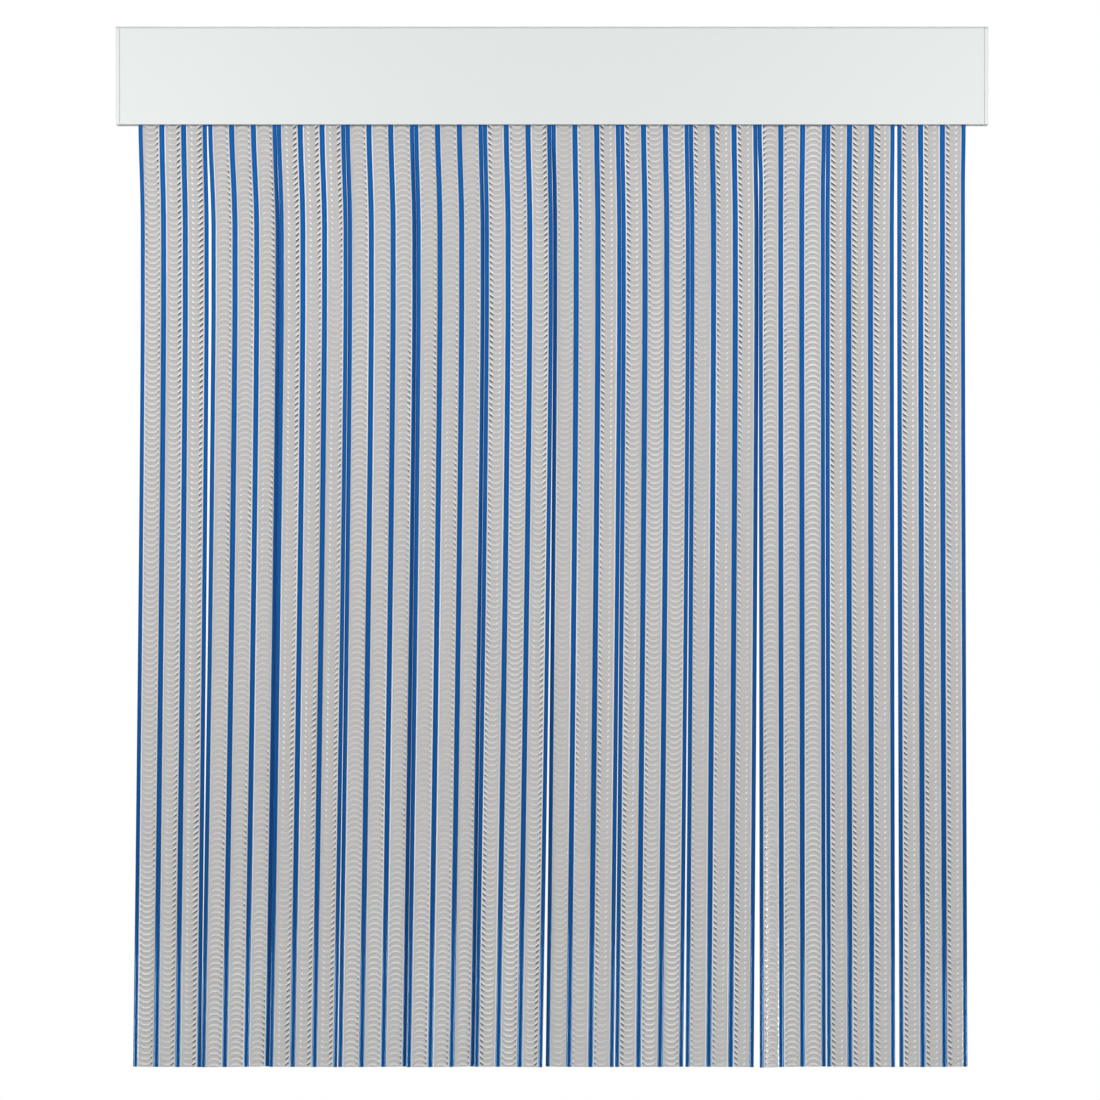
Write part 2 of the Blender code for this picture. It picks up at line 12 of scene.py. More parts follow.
import bmesh
import bpy
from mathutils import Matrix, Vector


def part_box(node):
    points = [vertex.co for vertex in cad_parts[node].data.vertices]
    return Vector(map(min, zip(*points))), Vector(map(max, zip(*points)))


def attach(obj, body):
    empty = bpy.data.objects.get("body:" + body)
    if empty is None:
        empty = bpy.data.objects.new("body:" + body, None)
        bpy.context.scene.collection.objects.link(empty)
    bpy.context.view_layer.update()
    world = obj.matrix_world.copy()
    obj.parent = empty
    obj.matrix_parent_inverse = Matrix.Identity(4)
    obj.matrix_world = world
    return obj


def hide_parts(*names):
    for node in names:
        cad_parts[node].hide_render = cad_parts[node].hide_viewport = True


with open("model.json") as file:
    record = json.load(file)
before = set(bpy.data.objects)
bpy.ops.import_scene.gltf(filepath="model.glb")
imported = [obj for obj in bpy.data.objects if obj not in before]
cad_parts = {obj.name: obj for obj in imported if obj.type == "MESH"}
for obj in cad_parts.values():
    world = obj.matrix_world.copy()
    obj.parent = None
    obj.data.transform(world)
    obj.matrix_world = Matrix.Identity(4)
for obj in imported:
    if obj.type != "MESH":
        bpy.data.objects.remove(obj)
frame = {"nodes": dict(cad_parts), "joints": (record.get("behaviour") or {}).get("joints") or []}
nodes = frame["nodes"]
scene = bpy.context.scene
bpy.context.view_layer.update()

# %% [markdown]
# ## The camera
#
# The curtain is shown straight from the front with hardly any perspective, so the camera has a
# very long lens and stands far away. Its distance follows from how wide the picture should be
# at the front of the header.

# %% Camera
PICTURE_WIDTH = 1.1342
PICTURE_CENTRE = (-0.0021, -0.4893)
LENS = 250
SENSOR = 36
SIGHT = 4  # how far the camera sees, as a multiple of its distance
header_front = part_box("header_profile")[0].y
camera_distance = PICTURE_WIDTH * LENS / SENSOR
camera_data = bpy.data.cameras.new("camera")
camera_data.lens = LENS
camera_data.sensor_width = SENSOR
camera_data.clip_end = SIGHT * camera_distance
camera = bpy.data.objects.new("camera", camera_data)
camera.location = (PICTURE_CENTRE[0], header_front - camera_distance, PICTURE_CENTRE[1])
camera.rotation_euler = (math.radians(90), 0, 0)
scene.collection.objects.link(camera)
scene.camera = camera
scene.view_settings.view_transform = "Standard"
print("camera stands", round(camera_distance, 2), "m away")

# %% [markdown]
# ## Nodes, written out
#
# Materials and shapes below are made of nodes. A few short helpers keep that readable. One adds a
# node with its settings and feeds its inputs, one does a sum, and one does the same sum over
# several values in turn.

# %% Helpers for node trees
def feed(tree, socket, value):
    """Links a socket to an output, or gives it a value."""
    if isinstance(value, bpy.types.NodeSocket):
        tree.links.new(value, socket)
    else:
        socket.default_value = value


def add(tree, kind, inputs=None, **settings):
    """A new node. Inputs are named, or numbered where names repeat."""
    node = tree.nodes.new(kind)
    for name, value in settings.items():
        setattr(node, name, value)
    for name, value in (inputs or {}).items():
        feed(tree, node.inputs[name], value)
    return node


def calc(tree, operation, *values):
    """The output of one sum."""
    return add(tree, "ShaderNodeMath", dict(enumerate(values)), operation=operation).outputs[0]


def chain(tree, operation, result, *others):
    """The same sum over several values in turn, such as their product, or the largest of them."""
    for other in others:
        result = calc(tree, operation, result, other)
    return result


print("helpers: feed, add, calc and chain")

# %% [markdown]
# ## A white room
#
# The picture has a pure white ground. The world is white for the camera, and for clear plastic
# as far as it looks at the bright walls before and behind the curtain. Reflections only find the
# middle of the wall behind, so that the round sides of a rib stay dark. To everything else the
# world is a dim room. Most of the light in the clear bands comes through them from behind.

# %% World
# How squarely a ray has to look forwards or backwards to see a bright wall, and how bright the
# rest of the room is. A reflection sees less of both.
WALL_EDGE = 0.25
MIRRORED_WALL_EDGE = 0.85
ROOM = 0.16
ROOM_REFLECTED = 0.10
WHITE = (1, 1, 1, 1)
world = bpy.data.worlds.new("studio")
world.use_nodes = True
scene.world = world
tree = world.node_tree
tree.nodes.clear()
rays = add(tree, "ShaderNodeLightPath").outputs
direction = add(tree, "ShaderNodeTexCoord").outputs["Generated"]
depth = add(tree, "ShaderNodeSeparateXYZ", {0: direction}).outputs["Y"]
before_or_behind = calc(tree, "GREATER_THAN", calc(tree, "ABSOLUTE", depth), WALL_EDGE)
behind = calc(tree, "GREATER_THAN", depth, MIRRORED_WALL_EDGE)
through = calc(tree, "MULTIPLY", rays["Is Transmission Ray"], before_or_behind)
mirrored = calc(tree, "MULTIPLY", rays["Is Glossy Ray"], behind)
shown = chain(tree, "MAXIMUM", rays["Is Camera Ray"], through, mirrored)
room = calc(tree, "MULTIPLY_ADD", rays["Is Glossy Ray"], ROOM_REFLECTED - ROOM, ROOM)
strength = calc(tree, "MULTIPLY_ADD", shown, calc(tree, "SUBTRACT", 1.0, room), room)
background = add(tree, "ShaderNodeBackground", {"Color": WHITE, "Strength": strength})
add(tree, "ShaderNodeOutputWorld", {"Surface": background.outputs[0]})
print("world made of", len(tree.nodes), "nodes")

# %% [markdown]
# ## The lamps
#
# The blue is lit by two lamps at the height of the header, and so gets deeper towards the foot. A
# broad lamp above and behind lights the back and the top. Two small lamps low at the sides light
# nothing, and only put a gleam on the marks near the foot. Their beam is narrow, so that they
# reach little else. From well to one side they show as a bright sheen on the lower ribbons.

# %% Lamps
# Each lamp has its place, what it aims at, its width and height, its power in watts, and whether
# it only shines on things like a gleam or only lights them softly.
LAMPS = {
    "key": ((-0.72, -1.00, -0.08), (-0.25, 0, -0.08), (0.6, 0.25), 8.2, False),
    "fill": ((0.74, -1.00, -0.08), (0.25, 0, -0.08), (0.6, 0.25), 8.0, False),
    "behind": ((0, 1.30, 1.20), (0, 0, -0.35), (1.6, 0.8), 33.0, False),
    "low_left": ((-1.15, -0.50, -1.15), (0, 0, -1.05), (0.5, 0.4), 1.4, True),
    "low_right": ((1.20, -0.50, -1.18), (0, 0, -1.05), (0.5, 0.4), 1.4, True),
}
BEAM = math.radians(60)
for name, (place, aim, size, power, shine_only) in LAMPS.items():
    light = bpy.data.lights.new(name, "AREA")
    light.shape = "RECTANGLE"
    light.size, light.size_y = size
    light.energy = power
    if shine_only:
        light.spread = BEAM
    lamp = bpy.data.objects.new(name, light)
    lamp.location = place
    lamp.rotation_euler = (Vector(aim) - lamp.location).to_track_quat("-Z", "Y").to_euler()
    lamp.visible_diffuse = not shine_only
    lamp.visible_glossy = shine_only
    lamp.visible_transmission = False
    lamp.visible_camera = False
    scene.collection.objects.link(lamp)
print("lamps:", ", ".join(LAMPS))

# %% [markdown]
# ## The floor
#
# The curtain hangs free, and the floor is a plain pale sheet well below it. It glows for whatever
# looks at it, so that it is pale from every side. Its paint still takes the light of the lamps
# and keeps the object's shadow.

# %% Floor
FLOOR_SIZE = 16
FLOOR_DROP = 1.1
FLOOR_COLOUR = (0.9, 0.9, 0.9, 1)
FLOOR_ROUGHNESS = 0.7
FLOOR_GLOW = 0.66
floor_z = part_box("ribbon_01")[0].z - FLOOR_DROP
half = FLOOR_SIZE / 2
corners = [(half * x, half * y, floor_z) for x, y in ((-1, -1), (1, -1), (1, 1), (-1, 1))]
floor_mesh = bpy.data.meshes.new("floor")
floor_mesh.from_pydata(corners, [], [(0, 1, 2, 3)])
floor = bpy.data.objects.new("floor", floor_mesh)
scene.collection.objects.link(floor)
floor_paint = bpy.data.materials.new("floor_paint")
floor_paint.use_nodes = True
tree = floor_paint.node_tree
shader = tree.nodes["Principled BSDF"]
shader.inputs["Base Color"].default_value = FLOOR_COLOUR
shader.inputs["Roughness"].default_value = FLOOR_ROUGHNESS
shader.inputs["Emission Color"].default_value = WHITE
rays = add(tree, "ShaderNodeLightPath").outputs
seen = chain(tree, "MAXIMUM", rays["Is Glossy Ray"], rays["Is Transmission Ray"], rays["Is Camera Ray"])
feed(tree, shader.inputs["Emission Strength"], calc(tree, "MULTIPLY", seen, FLOOR_GLOW))
floor_mesh.materials.append(floor_paint)
print("floor lies at", round(floor_z, 2), "m")

# %% [markdown]
# ## A fine grain
#
# Real surfaces are never quite even. One shader group makes a fine grain, and each material
# places it with its own scale and strength.

# %% Grain group
GRAIN_DETAIL = 2.0
NOISE_MIDDLE = 0.5
GRAIN_SOCKETS = (
    ("Scale", "INPUT", "NodeSocketFloat"),
    ("Depth", "INPUT", "NodeSocketFloat"),
    ("Value", "OUTPUT", "NodeSocketFloat"),
    ("Normal", "OUTPUT", "NodeSocketVector"),
)


def make_grain():
    """A group with a fine, soft noise: its value round nought, and a normal bent by it."""
    group = bpy.data.node_groups.new("fine_grain", "ShaderNodeTree")
    for name, way, kind in GRAIN_SOCKETS:
        group.interface.new_socket(name, in_out=way, socket_type=kind)
    given = add(group, "NodeGroupInput").outputs
    place = add(group, "ShaderNodeTexCoord").outputs["Object"]
    inputs = {"Vector": place, "Scale": given["Scale"], "Detail": GRAIN_DETAIL}
    noise = add(group, "ShaderNodeTexNoise", inputs).outputs[0]
    value = calc(group, "SUBTRACT", noise, NOISE_MIDDLE)
    bump = add(group, "ShaderNodeBump", {"Height": noise, "Distance": given["Depth"]})
    add(group, "NodeGroupOutput", {"Value": value, "Normal": bump.outputs[0]})
    return group


grain = make_grain()
print("grain group has", len(grain.nodes), "nodes")

# %% [markdown]
# ## One recipe for all materials
#
# Lacquer, moulded plastic, steel and PVC are made the same way here: a Principled shader with the
# grain in its normal, its roughness and a little in its colour. They differ in their numbers, so
# one function makes them all. What is the same all over a surface is set on the shader itself.

# %% Recipe of a material
ROUGHNESS_SWING = 0.2
SHALLOW = 0.00002


def make_material(name, colour, roughness, scale, mottle, depth=SHALLOW, metallic=0.0, **plain):
    """A Principled material with the grain in it. Other sockets of the shader are named in plain."""
    material = bpy.data.materials.new(name)
    material.use_nodes = True
    tree = material.node_tree
    shader = tree.nodes["Principled BSDF"]
    group = add(tree, "ShaderNodeGroup", {"Scale": scale, "Depth": depth}, node_tree=grain)
    value, normal = group.outputs["Value"], group.outputs["Normal"]
    shade = calc(tree, "MULTIPLY_ADD", value, mottle, 1.0)
    tint = add(tree, "ShaderNodeVectorMath", {0: colour, "Scale": shade}, operation="SCALE")
    feed(tree, shader.inputs["Base Color"], tint.outputs[0])
    feed(tree, shader.inputs["Normal"], normal)
    uneven = calc(tree, "MULTIPLY_ADD", value, ROUGHNESS_SWING, roughness)
    feed(tree, shader.inputs["Roughness"], uneven)
    shader.inputs["Metallic"].default_value = metallic
    for socket, setting in plain.items():
        shader.inputs[socket.replace("_", " ")].default_value = setting
    return material


print("recipe ready")

# %% [markdown]
# ## The header and its fittings
#
# The header is an aluminium section with satin white lacquer, and its end caps are moulded in the
# same white. Inside are a bright steel rod and hangers of natural nylon. The wall brackets and the
# screws are zinc-plated. Each finish goes to the parts whose plain material has its name.

# %% Materials of the header and its fittings
HEADER_WHITE = (0.77, 0.80, 0.79)
ROD_GREY = (0.60, 0.61, 0.62)
ZINC_GREY = (0.66, 0.67, 0.68)
NYLON = (0.74, 0.74, 0.70)
finishes = {
    "white_lacquer": make_material("satin_lacquer", HEADER_WHITE, 0.38, scale=1400, mottle=0.04),
    "white_plastic": make_material("moulded_plastic", HEADER_WHITE, 0.42, scale=1800, mottle=0.03),
    "rod_steel": make_material("bright_rod", ROD_GREY, 0.25, scale=2500, mottle=0.1, metallic=1.0),
    "zinc_steel": make_material("zinc_plate", ZINC_GREY, 0.38, scale=400, mottle=0.3, metallic=1.0),
    "hanger_nylon": make_material("natural_nylon", NYLON, 0.45, scale=1500, mottle=0.04),
}
print("made", len(finishes), "finishes")

# %% Dress the frame's own parts
dressed = 0
for node in nodes.values():
    finish = finishes.get(node.data.materials[0].name)
    if finish:
        node.data.materials[0] = finish
        dressed += 1
print("dressed", dressed, "parts")

# %% [markdown]
# ## Clear PVC
#
# The clear bands let part of the light through and look pale grey. Where the flanks of their
# embossing would bend the light away they are painted almost black, as painted shade, and where
# they would catch a lamp they are painted white, as painted highlights. Which flank has which is
# kept in two face attributes, one for the painted shade and one for the painted glints, that the
# ribbon's own node tree fills in further below. Light is coloured once at each skin of a band, and
# the smooth back of a band leaves it nearly as it is.

# %% Clear material
CLEAR_COLOUR = (0.565, 0.555, 0.542)
# Colours of the painted shade and the painted highlights; the flat back takes the highlight colour too.
PAINTED_SHADE_COLOUR = (0.022, 0.022, 0.026, 1)
GLINT_COLOUR = (0.98, 0.98, 0.97, 1)
PVC_IOR = 1.53
SEEN_THROUGH = 0.65


def attribute(material, name):
    """What a mesh says of itself under a name, as a number."""
    return add(material.node_tree, "ShaderNodeAttribute", attribute_name=name).outputs["Fac"]


def overlay(material, factor, colour):
    """Lays another colour over a material's own, as far as the factor says."""
    tree = material.node_tree
    base = tree.nodes["Principled BSDF"].inputs["Base Color"]
    inputs = {"Factor": factor, 6: base.links[0].from_socket, 7: colour}
    feed(tree, base, add(tree, "ShaderNodeMix", inputs, data_type="RGBA").outputs[2])


clear_pvc = make_material("clear_embossed_pvc", CLEAR_COLOUR, 0.15, scale=700, mottle=0.3,
                          depth=0.00004, IOR=PVC_IOR, Transmission_Weight=SEEN_THROUGH)
# The painted highlights and then the painted shade are laid over the band's own colour.
overlay(clear_pvc, attribute(clear_pvc, "glint"), GLINT_COLOUR)
overlay(clear_pvc, attribute(clear_pvc, "tick"), PAINTED_SHADE_COLOUR)
print("made", clear_pvc.name)

# %% [markdown]
# ## Blue PVC
#
# The ribs and edge beads are a glossy blue PVC that is drawn together with the clear one. The sides
# of a rib are painted a deeper blue: painted shade at the round sides of the rib, and a deeper blue
# where more of it lies one behind the other. How far a face looks sideways is stored on the ribs as
# "flank", and its square keeps the painted deep blue to the very sides.

# %% Blue material
BLUE_COLOUR = (0.008, 0.125, 0.43)
PAINTED_SIDE_SHADE_BLUE = (0.001, 0.045, 0.25, 1)
BLUE_SHINE = (0.30, 0.65, 1.0, 1.0)
blue_pvc = make_material("blue_pvc_gloss", BLUE_COLOUR, 0.12, scale=500, mottle=0.15,
                         depth=0.00003, Specular_Tint=BLUE_SHINE)
# Painted shade: the sides of each rib are darkened towards a deeper blue.
flank = attribute(blue_pvc, "flank")
overlay(blue_pvc, calc(blue_pvc.node_tree, "MULTIPLY", flank, flank), PAINTED_SIDE_SHADE_BLUE)
print("made", blue_pvc.name)

# %% [markdown]
# ## The strip's section
#
# Every ribbon is the same drawn strip: a blue bead on each edge, two blue ribs inside and three
# clear bands between them. These are the frame's own sizes, so the dressed ribbon fits its place.
# The blue laps a little over the bands, as soft blue plastic does where it is drawn together with
# the clear. An edge bead is widened like a rib, but sits half a lap further in, so that it reaches
# only half a lap past the strip's edge. Where the rod and the foot are is read from the frame.

# %% Sizes of the strip
# A bead and a rib have a width and a thickness. The shoulder is how far below the rod's axis the
# strip starts.
WIDTH = 0.0706
BEAD = (0.0040, 0.0028)
RIB = (0.0050, 0.0033)
WEB = 0.0010
SHOULDER = 0.0085
LAP = 0.0002
BAND = (WIDTH - 2 * BEAD[0] - 2 * RIB[0]) / 3
BEAD_AT = WIDTH / 2 - BEAD[0] / 2 - LAP / 2
RIB_AT = (BAND + RIB[0]) / 2
rod_low, rod_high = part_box("hanging_rod")
ROD_Y = (rod_low.y + rod_high.y) / 2
ROD_Z = (rod_low.z + rod_high.z) / 2
foot_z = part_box("ribbon_01")[0].z
LENGTH = ROD_Z - SHOULDER - foot_z
print("bands are", round(1000 * BAND, 2), "mm wide and the strip", round(1000 * LENGTH), "mm long")

# %% [markdown]
# ## One embossed element
#
# A roller presses the same mark into every band again and again: a ridge with a flat middle and
# two wings that rise outwards. One such element is modelled as a tile. The rows of the tile go
# down through valley, flank, crest, flank and valley, and each column is shifted upwards by the
# wing. Its lower edge is its upper edge moved by one pitch, so that tiles join. Each face knows
# which row it is in, and which part of the element: bar, corner, wing, tip, end or margin.
# The flat back counts as a row of its own.

# %% The tile's rows and columns
PITCH = 0.00583
RIDGE = 0.00036
WING_RISE = 0.0037
TUCK = 0.0006  # how far the clear skin runs on inside the blue
BAR, CORNER, WING, TIP, END, MARGIN = range(6)
VALLEY, UPPER, CREST, LOWER, BACK = range(5)
# Columns of the right half: place across, share of the wing's rise, and share of the ridge.
RIGHT_COLUMNS = [
    (0.12 * BAND, 0.0, 1.0),
    (0.23 * BAND, 0.25, 1.0),
    (0.33 * BAND, 0.63, 1.0),
    (0.42 * BAND, 0.96, 1.0),
    (0.45 * BAND, 1.0, 0.0),
    (BAND / 2 + TUCK, 1.0, 0.0),
]
COLUMNS = [(-across, rise, ridge) for across, rise, ridge in reversed(RIGHT_COLUMNS)] + RIGHT_COLUMNS
# What lies between each column and the next, from left to right. The left half has a minus sign.
RIGHT_PARTS = [CORNER, WING, TIP, END, MARGIN]
PARTS = [-part for part in reversed(RIGHT_PARTS)] + [BAR] + RIGHT_PARTS
# Rows: place as a share of the pitch, and share of the ridge.
ROW_EDGES = ((0.0, 0.0), (0.16, 0.0), (0.42, 1.0), (0.50, 1.0), (0.82, 0.0), (1.0, 0.0))
ROWS = (VALLEY, UPPER, CREST, LOWER, VALLEY)
print("an element has", len(PARTS), "columns and", len(ROWS), "rows of faces")

# %% The tile
def make_tile(name, rise):
    """A closed ring of faces round one element: relief in front, flat behind, plain at the sides."""
    builder = bmesh.new()
    part_of = builder.faces.layers.float.new("part")
    row_of = builder.faces.layers.float.new("row")
    front = []
    back = []
    for across, wing, ridge in COLUMNS:
        top = wing * rise
        relief = [(across, -WEB / 2 - RIDGE * ridge * h, top - PITCH * down) for down, h in ROW_EDGES]
        front.append([builder.verts.new(place) for place in relief])
        back.append([builder.verts.new((across, WEB / 2, top - PITCH * down)) for down in (0, 1)])
    for index, part in enumerate(PARTS):
        left, right = front[index], front[index + 1]
        for row, kind in enumerate(ROWS):
            face = builder.faces.new((left[row], left[row + 1], right[row + 1], right[row]))
            face[part_of] = part
            face[row_of] = kind
        left, right = back[index], back[index + 1]
        flat = builder.faces.new((left[0], right[0], right[1], left[1]))
        flat[row_of] = BACK
    builder.faces.new(front[0][::-1] + back[0])
    builder.faces.new(front[-1] + back[-1][::-1])
    mesh = bpy.data.meshes.new(name)
    builder.to_mesh(mesh)
    builder.free()
    print(name, "has", len(mesh.polygons), "faces")
    return bpy.data.objects.new(name, mesh)


tile_up = make_tile("tile_up", WING_RISE)
tile_down = make_tile("tile_down", -WING_RISE)

# %% [markdown]
# ## Geometry trees
#
# A ribbon's shape is grown by node trees. They start the same way, with geometry and some named
# numbers coming in and geometry going out.

# %% Helpers for geometry trees
def add_inputs(tree, names, kind="NodeSocketFloat"):
    """Gives a tree inputs of one kind under these names."""
    for name in names:
        tree.interface.new_socket(name, in_out="INPUT", socket_type=kind)


def geometry_tree(name, numbers):
    """An empty tree with geometry in and out, and what its inputs give."""
    tree = bpy.data.node_groups.new(name, "GeometryNodeTree")
    add_inputs(tree, ["Geometry"], "NodeSocketGeometry")
    add_inputs(tree, numbers)
    tree.interface.new_socket("Geometry", in_out="OUTPUT", socket_type="NodeSocketGeometry")
    return tree, add(tree, "NodeGroupInput").outputs


def split(tree, vector):
    """The X, Y and Z of a vector."""
    return add(tree, "ShaderNodeSeparateXYZ", {0: vector}).outputs


def position(tree):
    """The X, Y and Z of each point, or of the middle of each face."""
    return split(tree, add(tree, "GeometryNodeInputPosition").outputs[0])


print("helpers: add_inputs, geometry_tree, split and position")

# %% [markdown]
# ## How a ribbon hangs
#
# A soft strip never hangs quite flat. It turns a little about its own axis and bows across its
# width. Just below the header it steps to one side, and further down it drifts slowly towards
# its foot. One node group does this to any geometry that starts out straight, so that blue ribs
# and clear bands stay together.

# %% The hang group
# Shares of the strip's length: where turn and bow are full, where the step to the side ends, and
# where the drift starts.
SETTLE = 0.07
BEND = 0.12
DRIFT_START = 0.20
DRIFT_POWER = 1.25
MEAN_BOW = 1 / 3  # the mean of a square from -1 to 1, taken off so that the bow moves no strip
HANG_INPUTS = ("Sway", "Drift", "Mouth Twist", "Foot Twist", "Cup")


def risen(tree, down, full_share):
    """Rises smoothly from 0 at the shoulder to 1 at a share of the strip's length."""
    span = {"Value": down, "From Max": LENGTH * full_share}
    return add(tree, "ShaderNodeMapRange", span, interpolation_type="SMOOTHSTEP").outputs[0]


def make_hang():
    """A geometry group: straight strip in, hanging strip out."""
    tree, given = geometry_tree("hang", HANG_INPUTS)
    across, out, height = position(tree)
    down = calc(tree, "SUBTRACT", -SHOULDER, height)
    share = add(tree, "ShaderNodeMapRange", {"Value": down, "From Max": LENGTH}).outputs[0]
    settled = risen(tree, down, SETTLE)
    turning = calc(tree, "SUBTRACT", given["Foot Twist"], given["Mouth Twist"])
    twist = calc(tree, "MULTIPLY", settled, calc(tree, "MULTIPLY_ADD", turning, share, given["Mouth Twist"]))
    off_middle = calc(tree, "DIVIDE", across, WIDTH / 2)
    bow = calc(tree, "MULTIPLY_ADD", off_middle, off_middle, -MEAN_BOW)
    cup = calc(tree, "MULTIPLY", given["Cup"], settled)
    bowed = calc(tree, "MULTIPLY_ADD", cup, bow, out)
    cosine, sine = calc(tree, "COSINE", twist), calc(tree, "SINE", twist)
    drifted = add(tree, "ShaderNodeMapRange", {"Value": share, "From Min": DRIFT_START}).outputs[0]
    drift = calc(tree, "MULTIPLY", given["Drift"], calc(tree, "POWER", drifted, DRIFT_POWER))
    middle = calc(tree, "MULTIPLY_ADD", given["Sway"], risen(tree, down, BEND), drift)
    flat_x, bowed_x = calc(tree, "MULTIPLY", across, cosine), calc(tree, "MULTIPLY", bowed, sine)
    x = calc(tree, "ADD", middle, calc(tree, "SUBTRACT", flat_x, bowed_x))
    y = calc(tree, "MULTIPLY_ADD", across, sine, calc(tree, "MULTIPLY", bowed, cosine))
    place = add(tree, "ShaderNodeCombineXYZ", {0: x, 1: y, 2: height}).outputs[0]
    inputs = {"Geometry": given["Geometry"], "Position": place}
    moved = add(tree, "GeometryNodeSetPosition", inputs).outputs[0]
    add(tree, "NodeGroupOutput", {0: moved})
    return tree


hang = make_hang()
print("hang group has", len(hang.nodes), "nodes")

# %% [markdown]
# ## What both ribbon trees share
#
# The blue and the clear of a ribbon are two trees. Both put copies of something side by side,
# store a number on the result, hang it, and carry it to its rod.

# %% Helpers for ribbon trees
def ribbon_tree(name, numbers=()):
    """An empty tree with the inputs of a ribbon, and what they give."""
    tree, given = geometry_tree(name, HANG_INPUTS + numbers)
    add_inputs(tree, ["Place"], "NodeSocketVector")
    add_inputs(tree, ["Material"], "NodeSocketMaterial")
    return tree, given


def side_by_side(tree, geometry, count, offset):
    """Instances of the geometry on points across the strip, spread evenly about its middle."""
    first = -offset * (count - 1) / 2
    places = {"Count": count, "Start Location": (first, 0, 0), "Offset": (offset, 0, 0)}
    line = add(tree, "GeometryNodeMeshLine", places)
    inputs = {"Points": line.outputs[0], "Instance": geometry}
    return add(tree, "GeometryNodeInstanceOnPoints", inputs).outputs[0]


def store(tree, geometry, name, value, domain):
    """The geometry with a number stored on it under a name."""
    inputs = {"Geometry": geometry, "Name": name, "Value": value}
    return add(tree, "GeometryNodeStoreNamedAttribute", inputs, data_type="FLOAT", domain=domain).outputs[0]


def end_tree(tree, given, mesh):
    """Hangs the strip, carries it to its rod, and gives the result its material."""
    inputs = {"Geometry": mesh, **{name: given[name] for name in HANG_INPUTS}}
    hung = add(tree, "GeometryNodeGroup", inputs, node_tree=hang).outputs[0]
    placed = add(tree, "GeometryNodeTransform", {"Geometry": hung, "Translation": given["Place"]})
    real = add(tree, "GeometryNodeRealizeInstances", {"Geometry": placed.outputs[0]})
    inputs = {"Geometry": real.outputs[0], "Material": given["Material"]}
    coloured = add(tree, "GeometryNodeSetMaterial", inputs)
    add(tree, "NodeGroupOutput", {0: coloured.outputs[0]})


print("helpers: ribbon_tree, side_by_side, store and end_tree")

# %% [markdown]
# ## The blue ribs
#
# A rib is a line with a round profile swept along it, then flattened to its oval. The four of a
# ribbon come from two lines, each placed on a pair of points. The line gets many short pieces
# first, because a straight piece can't bend. How far a face looks sideways is stored while the
# rib is still straight, for the painted shade that deepens the blue there.

# %% Tree of the blue ribs
ROUND_POINTS = 14
LINE_POINTS = 90
UNIT_RADIUS = 0.5  # the circle is one metre wide, so that its scale gives the oval's true size


def make_blue_tree():
    """Straight oval ribs, hung as a ribbon hangs."""
    tree, given = ribbon_tree("blue_ribs")
    ends = {"Start": (0, 0, -SHOULDER), "End": (0, 0, -SHOULDER - LENGTH)}
    line = add(tree, "GeometryNodeCurvePrimitiveLine", ends).outputs[0]
    line = add(tree, "GeometryNodeResampleCurve", {"Curve": line, "Count": LINE_POINTS}).outputs[0]
    round_profile = {"Resolution": ROUND_POINTS, "Radius": UNIT_RADIUS}
    circle = add(tree, "GeometryNodeCurvePrimitiveCircle", round_profile).outputs[0]
    joined = add(tree, "GeometryNodeJoinGeometry")
    for (width, height), at in ((BEAD, BEAD_AT), (RIB, RIB_AT)):
        swept = {"Curve": line, "Profile Curve": circle, "Fill Caps": True}
        tube = add(tree, "GeometryNodeCurveToMesh", swept).outputs[0]
        oval_size = (width + 2 * LAP, height, 1)
        oval = add(tree, "GeometryNodeTransform", {"Geometry": tube, "Scale": oval_size}).outputs[0]
        feed(tree, joined.inputs[0], side_by_side(tree, oval, 2, 2 * at))
    real = add(tree, "GeometryNodeRealizeInstances", {"Geometry": joined.outputs[0]}).outputs[0]
    normal = add(tree, "GeometryNodeInputNormal").outputs[0]
    sideways = calc(tree, "ABSOLUTE", split(tree, normal)["X"])
    end_tree(tree, given, store(tree, real, "flank", sideways, "POINT"))
    return tree


blue_tree = make_blue_tree()
print("blue tree has", len(blue_tree.nodes), "nodes")

# %% [markdown]
# ## Which marks show
#
# Seen from the room, a ribbon that leans to one side shows the wings on that side as dark strokes
# with a bright edge above them, and the other wings as small bright dots. One that faces the room
# squarely shows its flat bars as a ladder of pale rungs. All of these are painted: the strokes as
# painted shade, and the edges, dots and rungs as painted highlights. So each ribbon is given a lean
# at both of its edges and a strength for its ladder, which steer only these painted marks and don't
# turn the strip. The marks are worked out from these and stored on the faces, where the clear
# material finds them.

# %% Helpers for the marks
NEAR = 0.1  # the kinds are whole numbers, so this is close enough to tell them apart


def noise_at(tree, place, seed, steps):
    """A smooth random number from 0 to 1 that changes with the place and with the seed."""
    x, z = (calc(tree, "MULTIPLY", value, step) for value, step in zip(place, steps))
    vector = add(tree, "ShaderNodeCombineXYZ", {0: x, 1: seed, 2: z}).outputs[0]
    return add(tree, "ShaderNodeTexNoise", {"Vector": vector, "Scale": 1.0, "Detail": 0.0}).outputs[0]


def clamped(tree, value):
    """The value, kept between 0 and 1."""
    return add(tree, "ShaderNodeClamp", {"Value": value}).outputs[0]


def ramp(tree, value, slope, start):
    """A straight rise or fall with the value, kept between 0 and 1."""
    return clamped(tree, calc(tree, "MULTIPLY_ADD", value, slope, start))


def is_kind(tree, value, kind):
    """1 where a stored number is this kind, and 0 elsewhere."""
    return calc(tree, "COMPARE", value, kind, NEAR)


def stored(tree, name):
    """A number that the tile's faces carry."""
    return add(tree, "GeometryNodeInputNamedAttribute", {"Name": name}, data_type="FLOAT").outputs[0]


print("helpers: noise_at, clamped, ramp, is_kind and stored")

# %% [markdown]
# ## The lean
#
# A bowed ribbon leans one way at its left edge and another at its right, and evenly in between. A
# slow noise makes the lean wander on the way down, since no two parts of a soft strip hang alike.

# %% Lean
# Steps say how quickly a noise changes across the strip and down it, in waves to the metre.
WANDER = 1.2
WANDER_STEPS = (14.0, 7.0)


